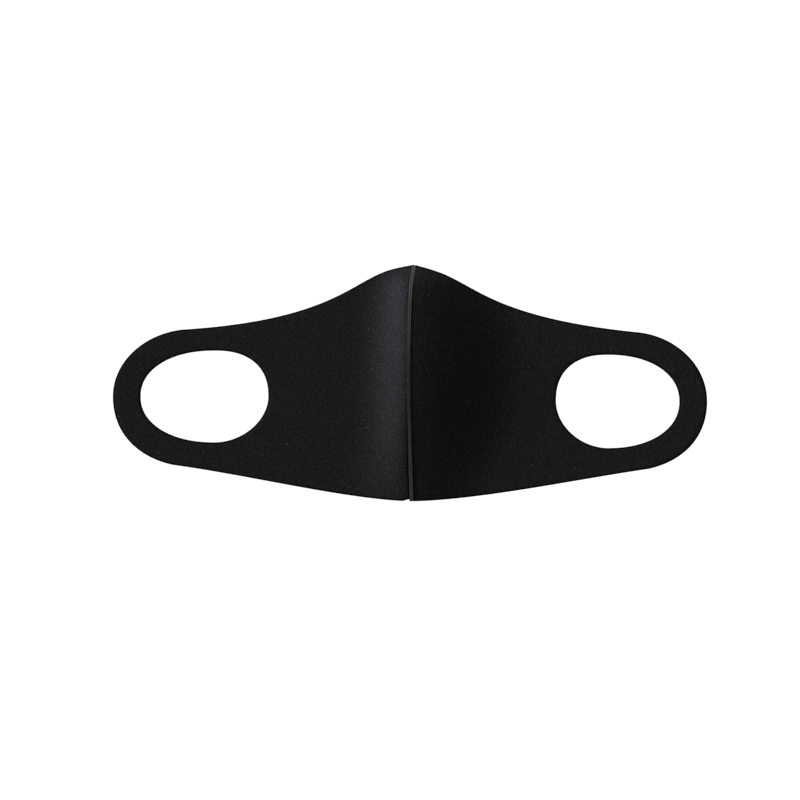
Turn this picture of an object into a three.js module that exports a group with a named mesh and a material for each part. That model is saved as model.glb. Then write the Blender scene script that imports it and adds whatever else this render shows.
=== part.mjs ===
// A cloth face mask lying face up: two cut panels of smooth knit cloth, each in one piece with its ear loop,
// and the bonded seam that joins them from the nose edge to the chin edge.
// Millimetres. +X runs along the mask to the right, +Y towards the nose edge, +Z up.
// The origin is on the surface that the mask lies on, under the middle of its length and height.

import * as THREE from 'three';

// Driving sizes of the whole mask
const maskWidth = 300;
const maskHeight = 119;
const clothThick = 1.2;

// Driving sizes of the ear loops
const earHoleLength = 63.4;
const earHoleHeight = 46.7;
const loopBand = 14;

// Driving sizes of the centre seam and of the ridge that it holds up
const seamWidth = 2;
const seamProud = 0.4;
const seamBevel = 0.3;
const seamGap = 0.3;
const seamLean = 2;
const ridgeRise = 11.5;
const flankWidth = 48;

// The ridge, a row for each section from the nose edge (along 0) to the chin edge (along 1).
// lean is a share of seamLean, rise of ridgeRise and each side's reach of flankWidth. Each side's crown tells
// how the cloth leaves the seam there: below its panel's fall it drops from a crease, at the fall it leaves
// level, and above it the cloth swells over the seam before it drops.
const ridgeSections = [
  { along: 0.00, lean: 1.00, rise: 0.25, leftReach: 0.75, rightReach: 0.79, leftCrown: 3.4, rightCrown: 1.6 },
  { along: 0.10, lean: 0.10, rise: 0.75, leftReach: 0.75, rightReach: 0.98, leftCrown: 3.0, rightCrown: 1.6 },
  { along: 0.32, lean: -0.38, rise: 1.00, leftReach: 0.77, rightReach: 1.21, leftCrown: 4.0, rightCrown: 1.8 },
  { along: 0.57, lean: -0.38, rise: 0.90, leftReach: 0.75, rightReach: 1.19, leftCrown: 5.4, rightCrown: 1.9 },
  { along: 0.76, lean: -0.12, rise: 0.68, leftReach: 0.87, rightReach: 1.04, leftCrown: 7.2, rightCrown: 1.9 },
  { along: 1.00, lean: 0.38, rise: 0.30, leftReach: 1.25, rightReach: 0.71, leftCrown: 7.0, rightCrown: 1.8 },
];

// How each panel lies. stretch draws the ear hole out lengthwise, loopUp is where its middle lies as a share
// of half the mask's height, and bandAbove and bandBelow are shares of loopBand.
const panelLie = [
  { name: 'left_panel', side: -1, stretch: 1.017, loopUp: -0.113, bandAbove: 0.76, bandBelow: 0.81 },
  { name: 'right_panel', side: 1, stretch: 0.983, loopUp: -0.155, bandAbove: 0.81, bandBelow: 0.75 },
];

// How each panel's flank drops from the ridge: a higher fall drops sooner and runs out longer. The other two
// name its columns of the ridge's sections.
const panelFlank = {
  left_panel: { fall: 5, reach: 'leftReach', crown: 'leftCrown' },
  right_panel: { fall: 2, reach: 'rightReach', crown: 'rightCrown' },
};

// How the long edges run between the seam and the loop: the two Bezier handles of each, outwards as shares
// of half the mask's width and up as shares of half its height.
const edgeHandles = {
  left_panel: {
    nose: { seamOut: 0.180, seamUp: 0.995, loopOut: 0.172, loopUp: 0.550 },
    chin: { loopOut: 0.520, loopUp: -0.790, seamOut: 0.220, seamUp: -0.985 },
  },
  right_panel: {
    nose: { seamOut: 0.200, seamUp: 0.945, loopOut: 0.200, loopUp: 0.575 },
    chin: { loopOut: 0.550, loopUp: -0.820, seamOut: 0.240, seamUp: -0.990 },
  },
};

// The loop's round end, in two quarters between its shoulders and its tip. shoulder is a share of half the
// ear hole's length past the hole's middle, and the handles are shares of the quarter's own box.
const loopQuarters = {
  upper: { shoulder: 0.34, levelHandle: 0.54, dip: 0.06, tipHandle: 0.53 },
  lower: { shoulder: 0.50, levelHandle: 0.57, dip: 0.11, tipHandle: 0.55 },
};

// The ear hole, in quarters of superellipses that meet at its tallest place. belly is the share of its
// length from the seam's side to there.
const earHoleShape = { belly: 0.42, seamUpper: 2.35, seamLower: 1.9, tipUpper: 2.15, tipLower: 2.15 };

// The net of the cover, which reaches from the seam out to the waist: a line through the ear hole that meets
// its edge at plus and minus waistTurn degrees. coverColumns are shares of the way from the seam to the waist.
const waistTurn = 120;
const coverColumns = [0, 0.03, 0.07, 0.12, 0.18, 0.25, 0.33, 0.41, 0.49, 0.58, 0.76, 1];
const bandRows = 2;
const holeRows = 18;
const coverRows = holeRows + 2 * bandRows;

// The net of the loop, a row for each stretch of its outer edge from the waist round the tip and back: the
// shares of the curve it covers, its steps, and the turns round the ear hole that its ends are joined to.
const loopStretches = [
  { stretch: 'nose', from: 0.62, to: 1, steps: 6, turnFrom: waistTurn, turnTo: 80 },
  { stretch: 'loopUpper', from: 0, to: 1, steps: 11, turnFrom: 80, turnTo: 0 },
  { stretch: 'loopLower', from: 0, to: 1, steps: 11, turnFrom: 0, turnTo: -75 },
  { stretch: 'chin', from: 0, to: 0.40, steps: 6, turnFrom: -75, turnTo: -waistTurn },
];
const slopeStep = 0.05;
const weldDecimals = 4;
const fullTurn = 360;

const halfWidth = maskWidth / 2;
const halfHeight = maskHeight / 2;

// A smooth curve through one column of the ridge's sections
function ridgeValue(column, along) {
  const rows = ridgeSections;
  let low = 0;
  while (low < rows.length - 2 && rows[low + 1].along < along) {
    low += 1;
  }
  const rateAt = (i) => {
    const before = rows[Math.max(i - 1, 0)];
    const after = rows[Math.min(i + 1, rows.length - 1)];
    return (after[column] - before[column]) / (after.along - before.along);
  };
  const from = rows[low];
  const to = rows[low + 1];
  const span = to.along - from.along;
  const t = (along - from.along) / span;
  const t2 = t * t;
  const t3 = t2 * t;
  const fromPart = from[column] * (2 * t3 - 3 * t2 + 1) + rateAt(low) * span * (t3 - 2 * t2 + t);
  const toPart = to[column] * (3 * t2 - 2 * t3) + rateAt(low + 1) * span * (t3 - t2);
  return fromPart + toPart;
}

function alongAt(y) {
  return THREE.MathUtils.clamp((halfHeight - y) / maskHeight, 0, 1);
}

function seamX(along) {
  return seamLean * ridgeValue('lean', along);
}

// Height of the cloth's underside: full at the seam, and level with the surface beyond the flank
function undersideAt(panel, x, y) {
  const flank = panelFlank[panel.name];
  const along = alongAt(y);
  const reach = flankWidth * ridgeValue(flank.reach, along);
  const out = Math.max(panel.side * (x - seamX(along)), 0) / reach;
  if (out >= 1) {
    return 0;
  }
  const crown = ridgeValue(flank.crown, along);
  return ridgeRise * ridgeValue('rise', along) * (1 - out) ** flank.fall * (1 + crown * out);
}

// Height of the cloth's upper face straight above the same place, so that it is clothThick through its slope
function upperAt(panel, x, y) {
  const dx = undersideAt(panel, x + slopeStep, y) - undersideAt(panel, x - slopeStep, y);
  const dy = undersideAt(panel, x, y + slopeStep) - undersideAt(panel, x, y - slopeStep);
  const lengthen = Math.hypot(1, dx / (2 * slopeStep), dy / (2 * slopeStep));
  return undersideAt(panel, x, y) + clothThick * lengthen;
}

// The ear hole's place: its tip end lies loopBand in from the tip of the loop
function earHole(panel) {
  const length = earHoleLength * panel.stretch;
  const height = earHoleHeight / Math.sqrt(panel.stretch);
  const tipEnd = halfWidth - loopBand;
  const seamEnd = tipEnd - length;
  return {
    seamEnd,
    tipEnd,
    middle: (seamEnd + tipEnd) / 2,
    halfLength: length / 2,
    tallest: seamEnd + earHoleShape.belly * length,
    up: panel.loopUp * halfHeight,
    halfTall: height / 2,
  };
}

// A point of the hole's edge at a turn round it, 0 towards the loop's tip and 90 up
function earHolePoint(hole, turn) {
  const angle = THREE.MathUtils.degToRad(turn);
  const level = Math.cos(angle);
  const rise = Math.sin(angle);
  const end = level < 0 ? 'seam' : 'tip';
  const power = 2 / earHoleShape[end + (rise < 0 ? 'Lower' : 'Upper')];
  const reach = level < 0 ? hole.tallest - hole.seamEnd : hole.tipEnd - hole.tallest;
  return new THREE.Vector2(
    hole.tallest + Math.sign(level) * reach * Math.abs(level) ** power,
    hole.up + Math.sign(rise) * hole.halfTall * Math.abs(rise) ** power,
  );
}

// The panel's edge as curves, measured outwards from the middle of the mask and up
function panelEdge(panel) {
  const hole = earHole(panel);
  const handles = edgeHandles[panel.name];
  const { upper, lower } = loopQuarters;
  const at = (out, up) => new THREE.Vector2(out * halfWidth, up * halfHeight);
  const seamPoint = (along) => new THREE.Vector2(
    panel.side * seamX(along) + seamWidth / 2 + seamGap,
    halfHeight - along * maskHeight,
  );
  const tip = new THREE.Vector2(halfWidth, hole.up);
  const quarter = (shape, riseUp) => {
    const shoulder = new THREE.Vector2(hole.middle + shape.shoulder * hole.halfLength, hole.up + riseUp);
    const nearShoulder = new THREE.Vector2(
      THREE.MathUtils.lerp(shoulder.x, tip.x, shape.levelHandle),
      THREE.MathUtils.lerp(shoulder.y, tip.y, shape.dip),
    );
    const nearTip = new THREE.Vector2(tip.x, THREE.MathUtils.lerp(tip.y, shoulder.y, shape.tipHandle));
    return { shoulder, nearShoulder, nearTip };
  };
  const top = quarter(upper, hole.halfTall + panel.bandAbove * loopBand);
  const low = quarter(lower, -hole.halfTall - panel.bandBelow * loopBand);
  const noseHandles = [
    at(handles.nose.seamOut, handles.nose.seamUp),
    at(handles.nose.loopOut, handles.nose.loopUp),
  ];
  const chinHandles = [
    at(handles.chin.loopOut, handles.chin.loopUp),
    at(handles.chin.seamOut, handles.chin.seamUp),
  ];
  const curves = {
    nose: new THREE.CubicBezierCurve(seamPoint(0), ...noseHandles, top.shoulder),
    loopUpper: new THREE.CubicBezierCurve(top.shoulder, top.nearShoulder, top.nearTip, tip),
    loopLower: new THREE.CubicBezierCurve(tip, low.nearTip, low.nearShoulder, low.shoulder),
    chin: new THREE.CubicBezierCurve(low.shoulder, ...chinHandles, seamPoint(1)),
  };
  return (name, share) => (name === 'seam' ? seamPoint(1 - share) : curves[name].getPointAt(share));
}

// The cover's net: the seam and the waist are joined by lines that follow the chin and nose edges
function coverNet(edge, hole) {
  const nose = loopStretches[0];
  const chin = loopStretches[loopStretches.length - 1];
  const noseAt = (share) => edge('nose', share * nose.from);
  const chinAt = (share) => edge('chin', THREE.MathUtils.lerp(1, chin.to, share));
  const holeLow = earHolePoint(hole, -waistTurn);
  const holeHigh = earHolePoint(hole, waistTurn);
  const waistAt = (row) => {
    if (row <= bandRows) {
      return chinAt(1).lerp(holeLow, row / bandRows);
    }
    if (row >= bandRows + holeRows) {
      return holeHigh.clone().lerp(noseAt(1), (row - bandRows - holeRows) / bandRows);
    }
    const share = (row - bandRows) / holeRows;
    return earHolePoint(hole, THREE.MathUtils.lerp(fullTurn - waistTurn, waistTurn, share));
  };
  return Array.from({ length: coverRows + 1 }, (_, row) => coverColumns.map((out) => {
    const up = row / coverRows;
    const across = edge('seam', up).lerp(waistAt(row), out);
    const upward = chinAt(out).lerp(noseAt(out), up);
    const seamEnds = edge('seam', 0).lerp(edge('seam', 1), up);
    const waistEnds = waistAt(0).lerp(waistAt(coverRows), up);
    return across.add(upward).sub(seamEnds.lerp(waistEnds, out));
  }));
}

// The loop's net: straight across its band from the outer edge to the ear hole
function loopNet(edge, hole) {
  const bandAcross = (outer, turn) => Array.from({ length: bandRows + 1 }, (_, i) => (
    outer.clone().lerp(earHolePoint(hole, turn), i / bandRows)
  ));
  const ends = loopStretches[loopStretches.length - 1];
  return loopStretches
    .flatMap((row) => Array.from({ length: row.steps }, (_, step) => {
      const share = step / row.steps;
      const outer = edge(row.stretch, THREE.MathUtils.lerp(row.from, row.to, share));
      return bandAcross(outer, THREE.MathUtils.lerp(row.turnFrom, row.turnTo, share));
    }))
    .concat([bandAcross(edge(ends.stretch, ends.to), ends.turnTo)]);
}

// Joins nets into one flat sheet of four-sided cells in which the points that nets share are stored once
function flatSheet(nets) {
  const points = [];
  const cells = [];
  const known = new Map();
  const store = (point) => {
    const key = `${point.x.toFixed(weldDecimals)} ${point.y.toFixed(weldDecimals)}`;
    if (!known.has(key)) {
      known.set(key, points.length);
      points.push(point);
    }
    return known.get(key);
  };
  for (const net of nets) {
    const stored = net.map((line) => line.map(store));
    for (let i = 1; i < stored.length; i += 1) {
      for (let k = 1; k < stored[i].length; k += 1) {
        cells.push([stored[i - 1][k - 1], stored[i - 1][k], stored[i][k], stored[i][k - 1]]);
      }
    }
  }
  return { points, cells };
}

// The cells' edges that no second cell shares, which are the cloth's cut edges
function cutEdges(cells) {
  const edges = new Map();
  for (const cell of cells) {
    cell.forEach((from, i) => {
      const to = cell[(i + 1) % cell.length];
      if (!edges.delete(`${to} ${from}`)) {
        edges.set(`${from} ${to}`, [from, to]);
      }
    });
  }
  return [...edges.values()];
}

function closedGeometry(points, quads, flip) {
  const geometry = new THREE.BufferGeometry();
  geometry.setAttribute('position', new THREE.Float32BufferAttribute(points.flat(), 3));
  geometry.setIndex(quads.flatMap(([a, b, c, d]) => (flip ? [a, c, b, a, d, c] : [a, b, c, a, c, d])));
  geometry.computeVertexNormals();
  return geometry;
}

// One panel of cloth with its ear loop: the flat sheet raised to both faces and closed round its cut edges
function panelGeometry(panel) {
  const hole = earHole(panel);
  const edge = panelEdge(panel);
  const sheet = flatSheet([coverNet(edge, hole), loopNet(edge, hole)]);
  const upper = sheet.points.length;
  const points = [undersideAt, upperAt].flatMap((heightAt) => sheet.points.map(({ x, y }) => {
    const placed = panel.side * x;
    return [placed, y, heightAt(panel, placed, y)];
  }));
  const quads = sheet.cells.flatMap((cell) => [
    [...cell].reverse(),
    cell.map((i) => i + upper),
  ]);
  for (const [from, to] of cutEdges(sheet.cells)) {
    quads.push([from, to, to + upper, from + upper]);
  }
  return closedGeometry(points, quads, panel.side < 0);
}

// The seam: the panels' two cut edges, bonded face to face, swept along the ridge from chin to nose
function seamGeometry() {
  const half = seamWidth / 2;
  const stations = Array.from({ length: coverRows + 1 }, (_, i) => 1 - i / coverRows);
  const sections = stations.map((along) => {
    const x = seamX(along);
    const y = halfHeight - along * maskHeight;
    const bottom = ridgeRise * ridgeValue('rise', along);
    const top = Math.max(...panelLie.map((panel) => upperAt(panel, x, y))) + seamProud;
    return [
      [x - half, y, bottom],
      [x + half, y, bottom],
      [x + half, y, top - seamBevel],
      [x + half - seamBevel, y, top],
      [x - half + seamBevel, y, top],
      [x - half, y, top - seamBevel],
    ];
  });
  const sides = sections[0].length;
  const chinEnd = [[0, 1, 2, 5], [2, 3, 4, 5]];
  const noseEnd = chinEnd.map((cell) => cell.map((i) => i + coverRows * sides).reverse());
  const quads = [...chinEnd, ...noseEnd];
  for (let i = 0; i < coverRows; i += 1) {
    for (let k = 0; k < sides; k += 1) {
      const next = (k + 1) % sides;
      quads.push([i * sides + k, (i + 1) * sides + k, (i + 1) * sides + next, i * sides + next]);
    }
  }
  return closedGeometry(sections.flat(), quads, false);
}

// Smooth dark knit cloth, and the paler cut edge of its core
const clothMaterial = () => new THREE.MeshStandardMaterial({ color: 0x1e1d22, roughness: 0.72, metalness: 0 });
const cutEdgeMaterial = new THREE.MeshStandardMaterial({ color: 0x4d4c52, roughness: 0.9, metalness: 0 });

const mask = new THREE.Group();
for (const panel of panelLie) {
  const mesh = new THREE.Mesh(panelGeometry(panel), clothMaterial());
  mesh.name = panel.name;
  mask.add(mesh);
}
const seam = new THREE.Mesh(seamGeometry(), cutEdgeMaterial);
seam.name = 'centre_seam';
mask.add(seam);

export default mask;
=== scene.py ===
# %% [markdown]
# # A cloth face mask, lying face up
#
# The real mask is two pieces of smooth dark knit cloth, each cut in one piece with its ear loop, and one
# bonded seam that joins them from the nose edge to the chin edge and holds the cloth up in a ridge. The
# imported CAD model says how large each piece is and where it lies. This lesson gives the three pieces the
# form, the edges and the finish of the real cloth, then lays them on a white table in soft studio light.
# Tables are in millimetres, as the CAD part's are, and what is handed to Blender is in metres.

# %% Load the frame and keep its box
import math

import bmesh
import bpy
import numpy as np
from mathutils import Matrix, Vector


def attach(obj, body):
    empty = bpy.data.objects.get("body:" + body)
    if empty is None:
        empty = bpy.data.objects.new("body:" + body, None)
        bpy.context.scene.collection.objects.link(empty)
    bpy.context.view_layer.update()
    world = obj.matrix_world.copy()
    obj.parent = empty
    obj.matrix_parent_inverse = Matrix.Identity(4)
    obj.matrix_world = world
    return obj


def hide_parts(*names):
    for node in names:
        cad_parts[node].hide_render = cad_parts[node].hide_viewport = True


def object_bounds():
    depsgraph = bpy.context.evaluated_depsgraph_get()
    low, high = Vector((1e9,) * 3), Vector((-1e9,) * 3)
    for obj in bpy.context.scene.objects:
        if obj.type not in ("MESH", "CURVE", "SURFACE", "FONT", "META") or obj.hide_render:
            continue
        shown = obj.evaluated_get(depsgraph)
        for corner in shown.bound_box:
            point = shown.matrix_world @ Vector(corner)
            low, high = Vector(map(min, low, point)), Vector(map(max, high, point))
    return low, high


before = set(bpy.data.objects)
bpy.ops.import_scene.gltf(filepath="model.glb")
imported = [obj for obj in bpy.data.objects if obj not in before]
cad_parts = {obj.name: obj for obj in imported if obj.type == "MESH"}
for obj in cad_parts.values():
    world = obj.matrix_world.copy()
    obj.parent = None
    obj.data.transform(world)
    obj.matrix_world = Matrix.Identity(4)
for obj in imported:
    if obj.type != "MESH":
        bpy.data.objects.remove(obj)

cad_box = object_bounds()
millimetre = 0.001
box_mm = [[round(v / millimetre, 2) for v in end] for end in cad_box]
print("The CAD model's box, in millimetres:", box_mm)

# %% [markdown]
# ## The sizes that the cloth is cut to
#
# A mask like this is cut flat from one smooth knit, about 1.2 mm thick, and it has no hems: each edge is
# a bare cut. The whole width and height are read from the CAD model's box, so the two can't drift apart.
# The other sizes repeat the CAD part's tables, because the scene has to follow the same outline.
#
# The ridge isn't the same from end to end, so a table gives its qualities at six sections: how far the
# seam leans aside, how high it stands, how far each flank reaches and how full its crown is, all as
# shares of the named sizes, and how much the seam's fin tilts towards the light. The picture's highlight
# asks for a little more than the CAD part's columns, by about a millimetre of height at the most: the
# left crown is fuller towards the nose, and near the chin the ridge is a little lower and its left flank
# is shorter.

# %% Sizes of the cloth, the ear loops and the ridge
mask_width = (cad_box[1].x - cad_box[0].x) / millimetre
mask_height = (cad_box[1].y - cad_box[0].y) / millimetre
half_width = mask_width / 2
half_height = mask_height / 2
cloth_thick = 1.2
ear_hole_length = 63.4
ear_hole_height = 46.7
loop_band = 14
seam_width = 2
seam_proud = 0.4
rim_radius = 0.35
seam_lean = 2
ridge_rise = 11.5
flank_width = 48
print(f"The mask is {mask_width:.1f} mm wide and {mask_height:.1f} mm high")

# %% The ridge, a column for each quality, with one value for every section from nose (0) to chin (1)
ridge_sections = {
    "along": [0.00, 0.10, 0.32, 0.57, 0.76, 1.00],
    "lean": [1.00, 0.10, -0.38, -0.38, -0.12, 0.38],
    "rise": [0.25, 0.75, 1.00, 0.90, 0.62, 0.28],
    "reach_left": [0.75, 0.75, 0.77, 0.75, 0.80, 1.05],
    "reach_right": [0.79, 0.98, 1.21, 1.19, 1.04, 0.71],
    "crown_left": [5.0, 4.6, 4.4, 5.4, 7.2, 7.0],
    "crown_right": [1.6, 1.6, 1.8, 1.9, 1.9, 1.8],
    "fin_tilt": [0.20, 0.22, 0.10, 0.04, -0.04, -0.10],
}


def ridge_value(column, along):
    """A smooth curve through one column of the ridge's sections, read at shares of the way to the chin."""
    places = np.array(ridge_sections["along"])
    values = np.array(ridge_sections[column])
    ahead = np.append(np.arange(1, len(places)), len(places) - 1)
    behind = np.append(0, np.arange(len(places) - 1))
    rate = (values[ahead] - values[behind]) / (places[ahead] - places[behind])
    low = np.clip(np.searchsorted(places, along, side="right") - 1, 0, len(places) - 2)
    span = places[low + 1] - places[low]
    t = (along - places[low]) / span
    start = values[low] * (2 * t**3 - 3 * t**2 + 1) + rate[low] * span * (t**3 - 2 * t**2 + t)
    end = values[low + 1] * (3 * t**2 - 2 * t**3) + rate[low + 1] * span * (t**3 - t**2)
    return start + end


def along_at(y):
    return np.clip((half_height - y) / mask_height, 0, 1)


def seam_x(y):
    return seam_lean * ridge_value("lean", along_at(y))


ridge_crest = ridge_rise * max(ridge_sections["rise"])
print(f"The cloth's underside stands {ridge_crest:.1f} mm high at the ridge's crest")

# %% How each panel lies, and its long edges' handles, as shares of half the width and half the height
panels = {
    "left_panel": {
        "side": -1, "stretch": 1.017, "loop_up": -0.113, "band_above": 0.76, "band_below": 0.81,
        "fall": 5, "reach": "reach_left", "crown": "crown_left", "nip": 1.0, "seam_rim_shade_below": -38,
        "nose": [(0.180, 0.995), (0.172, 0.550)],
        "chin": [(0.520, -0.790), (0.220, -0.985)],
    },
    "right_panel": {
        "side": 1, "stretch": 0.983, "loop_up": -0.155, "band_above": 0.81, "band_below": 0.75,
        "fall": 2, "reach": "reach_right", "crown": "crown_right", "nip": 0, "seam_rim_shade_below": -half_height,
        "nose": [(0.200, 0.945), (0.200, 0.575)],
        "chin": [(0.550, -0.820), (0.240, -0.990)],
    },
}
loop_quarters = {
    "upper": {"shoulder": 0.34, "level_handle": 0.54, "dip": 0.06, "tip_handle": 0.53},
    "lower": {"shoulder": 0.50, "level_handle": 0.57, "dip": 0.11, "tip_handle": 0.55},
}
hole_curves = {"belly": 0.42, "seam_upper": 2.35, "seam_lower": 1.9, "tip": 2.15}

# %% [markdown]
# ## The cut outline
#
# The pattern cutter's line is smooth: it runs from the seam out along the nose edge, round the loop's end
# and back along the chin edge, and the ear hole is a rounded oval inside it. A traced line would need
# hundreds of points. Four Bezier curves and four quarters of superellipses say the same with a few sizes
# each. Places are given outwards from the middle of the mask and up, so that both panels share the code.
# Close to the seam the cloth pulls a little: the nose edge sags by 0.65 mm on both sides, and the left
# panel's chin edge is nipped up by 1 mm.

# %% Points along one Bezier curve, and round the ear hole
curve_steps = 401


def along_curve(handles, shares):
    """Points at these shares of the length of a cubic curve."""
    a, b, c, d = (np.array(handle, float) for handle in handles)
    t = np.linspace(0, 1, curve_steps)[:, None]
    line = a * (1 - t) ** 3 + 3 * b * t * (1 - t) ** 2 + 3 * c * t**2 * (1 - t) + d * t**3
    gone = np.append(0, np.cumsum(np.linalg.norm(np.diff(line, axis=0), axis=1)))
    return np.column_stack([np.interp(np.asarray(shares) * gone[-1], gone, line[:, k]) for k in (0, 1)])


def ear_hole(panel):
    length = ear_hole_length * panel["stretch"]
    tip_end = half_width - loop_band
    return {
        "tip_end": tip_end,
        "seam_end": tip_end - length,
        "middle": tip_end - length / 2,
        "half_length": length / 2,
        "tallest": tip_end - (1 - hole_curves["belly"]) * length,
        "up": panel["loop_up"] * half_height,
        "half_tall": ear_hole_height / math.sqrt(panel["stretch"]) / 2,
    }


def hole_edge(hole, turns):
    """Points of the ear hole's edge at these turns round it, 0 towards the loop's tip and 90 up."""
    level = np.cos(np.radians(turns))
    rise = np.sin(np.radians(turns))
    seam_curve = np.where(rise < 0, hole_curves["seam_lower"], hole_curves["seam_upper"])
    power = 2 / np.where(level < 0, seam_curve, hole_curves["tip"])
    reach = np.where(level < 0, hole["tallest"] - hole["seam_end"], hole["tip_end"] - hole["tallest"])
    return np.column_stack([
        hole["tallest"] + np.sign(level) * reach * np.abs(level) ** power,
        hole["up"] + np.sign(rise) * hole["half_tall"] * np.abs(rise) ** power,
    ])


# %% The four curves of a panel's outer edge
panel_in_seam = 0.03  # the cloth runs a hair into the seam, so that no table shows between them


def outer_curves(panel, hole):
    def quarter(shape, rise):
        shoulder = (hole["middle"] + shape["shoulder"] * hole["half_length"], hole["up"] + rise)
        near_shoulder = (
            shoulder[0] + shape["level_handle"] * (half_width - shoulder[0]),
            shoulder[1] + shape["dip"] * (hole["up"] - shoulder[1]),
        )
        near_tip = (half_width, hole["up"] + shape["tip_handle"] * rise)
        return shoulder, near_shoulder, near_tip

    def at_seam(y):
        return (panel["side"] * float(seam_x(np.array(y))) + seam_width / 2 - panel_in_seam, y)

    def handles(edge):
        return [(out * half_width, up * half_height) for out, up in panel[edge]]

    tip = (half_width, hole["up"])
    over_hole = hole["half_tall"] + panel["band_above"] * loop_band
    under_hole = -hole["half_tall"] - panel["band_below"] * loop_band
    top, by_top, over_tip = quarter(loop_quarters["upper"], over_hole)
    low, by_low, under_tip = quarter(loop_quarters["lower"], under_hole)
    return {
        "nose": [at_seam(half_height), *handles("nose"), top],
        "loop_upper": [top, by_top, over_tip, tip],
        "loop_lower": [tip, under_tip, by_low, low],
        "chin": [low, *handles("chin"), at_seam(-half_height)],
    }


for name, panel in panels.items():
    hole = ear_hole(panel)
    length = sum(
        np.linalg.norm(np.diff(along_curve(curve, np.linspace(0, 1, curve_steps)), axis=0), axis=1).sum()
        for curve in outer_curves(panel, hole).values()
    )
    print(f"{name}: {length:.0f} mm of cut edge outside the seam,",
          f"ear hole {2 * hole['half_length']:.1f} mm long")

# %% [markdown]
# ## The flat sheet
#
# Before it is raised, each panel is a flat sheet of four-sided cells. One net fills the cover from the
# seam to the waist, a line through the ear hole, and a second runs round the loop from its outer edge to
# the hole. Cells that follow the edges bend better than a trimmed grid, and the rows close to a cut edge
# let its corners be rounded later. The nets meet at the waist, where their doubled points are merged.

# %% Rows and columns of the nets
waist_turn = 120
over_turn = 80
under_turn = -75
rim_steps = np.array([0, 0.12, rim_radius]) / loop_band
between_rims = np.linspace(rim_steps[-1], 1 - rim_steps[-1], 8)
band_shares = np.concatenate([rim_steps[:-1], between_rims, 1 - rim_steps[-2::-1]])
band_part = 1 / 11  # of the cover's height, on each side of the ear hole
hole_steps = 60
hole_shares = np.linspace(0, 1, hole_steps + 1)
cover_steps = 55
even = np.linspace(0, 1, cover_steps + 1)[:-1]
even_part = 0.19  # of the way across, and the rest grows with the square, so columns crowd at the seam
rim_columns = [0.9959, 0.9986, 1]  # 0.35 and 0.12 mm before the ear hole, and at it
cover_columns = np.append(even_part * even + (1 - even_part) * even**2, rim_columns)
loop_stretches = [
    {"edge": "nose", "begin": 0.62, "end": 1, "steps": 24, "turns": (waist_turn, over_turn)},
    {"edge": "loop_upper", "begin": 0, "end": 1, "steps": 44, "turns": (over_turn, 0)},
    {"edge": "loop_lower", "begin": 0, "end": 1, "steps": 44, "turns": (0, under_turn)},
    {"edge": "chin", "begin": 0, "end": 0.40, "steps": 24, "turns": (under_turn, -waist_turn)},
]
cover_rows = len(hole_shares) + 2 * len(band_shares) - 2
print(f"The cover's net has {len(cover_columns)} columns and {cover_rows} rows")


# %% The net of the cover, between the seam, the waist, the nose edge and the chin edge
nip_width = 4
nose_sag = 0.65
sag_width = 40


def blend(start, end, share):
    return start + (end - start) * share


def cover_net(panel, hole, curves):
    nose_end = loop_stretches[0]["begin"]
    chin_end = loop_stretches[-1]["end"]
    nose = along_curve(curves["nose"], cover_columns * nose_end)
    chin = along_curve(curves["chin"], 1 - cover_columns * (1 - chin_end))
    near_chin = np.clip(1 - (chin[:, 0] - chin[0, 0]) / nip_width, 0, 1)
    chin[:, 1] += panel["nip"] * near_chin**2 * (3 - 2 * near_chin)
    near_nose = np.clip(1 - (nose[:, 0] - nose[0, 0]) / sag_width, 0, 1)
    sag = (1 - near_nose) * near_nose**4
    nose[:, 1] -= nose_sag * sag / sag.max()
    turns = blend(360 - waist_turn, waist_turn, hole_shares)
    hole_part = hole_edge(hole, turns)
    below = blend(chin[-1], hole_part[0], band_shares[:-1, None])
    above = blend(hole_part[-1], nose[-1], band_shares[1:, None])
    waist = np.concatenate([below, hole_part, above])
    up = np.concatenate([
        band_part * band_shares[:-1],
        blend(band_part, 1 - band_part, hole_shares),
        1 - band_part + band_part * band_shares[1:],
    ])
    y = blend(chin[0, 1], nose[0, 1], up)
    seam = np.column_stack([panel["side"] * seam_x(y) + seam_width / 2 - panel_in_seam, y])
    rise = up[:, None, None]
    out = cover_columns[None, :, None]
    across = blend(seam[:, None], waist[:, None], out)
    upward = blend(chin[None], nose[None], rise)
    corners = blend(blend(seam[0], seam[-1], rise), blend(waist[0], waist[-1], rise), out)
    return across + upward - corners


# %% The net of the loop, straight across its band
def loop_net(hole, curves):
    lines = []
    for stretch in loop_stretches:
        shares = np.linspace(0, 1, stretch["steps"] + 1)
        outer = along_curve(curves[stretch["edge"]], blend(stretch["begin"], stretch["end"], shares))
        inner = hole_edge(hole, blend(*stretch["turns"], shares))
        lines.append(blend(outer[:, None], inner[:, None], band_shares[None, :, None]))
    return np.concatenate([line[:-1] for line in lines] + [lines[-1][-1:]])


# %% One flat sheet from both nets, in metres
merge_within = 0.002 * millimetre


def flat_sheet(name, panel):
    hole = ear_hole(panel)
    curves = outer_curves(panel, hole)
    sheet = bmesh.new()
    for net in (cover_net(panel, hole, curves), loop_net(hole, curves)):
        places = [[(panel["side"] * x * millimetre, y * millimetre, 0) for x, y in row] for row in net]
        grid = [[sheet.verts.new(place) for place in row] for row in places]
        for row, after in zip(grid, grid[1:]):
            for cell in zip(row, row[1:], after[1:], after):
                sheet.faces.new(cell if panel["side"] > 0 else cell[::-1])
    bmesh.ops.remove_doubles(sheet, verts=sheet.verts, dist=merge_within)
    for face in sheet.faces:
        face.smooth = True
    mesh = bpy.data.meshes.new(name + "_flat")
    sheet.to_mesh(mesh)
    sheet.free()
    return mesh


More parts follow.
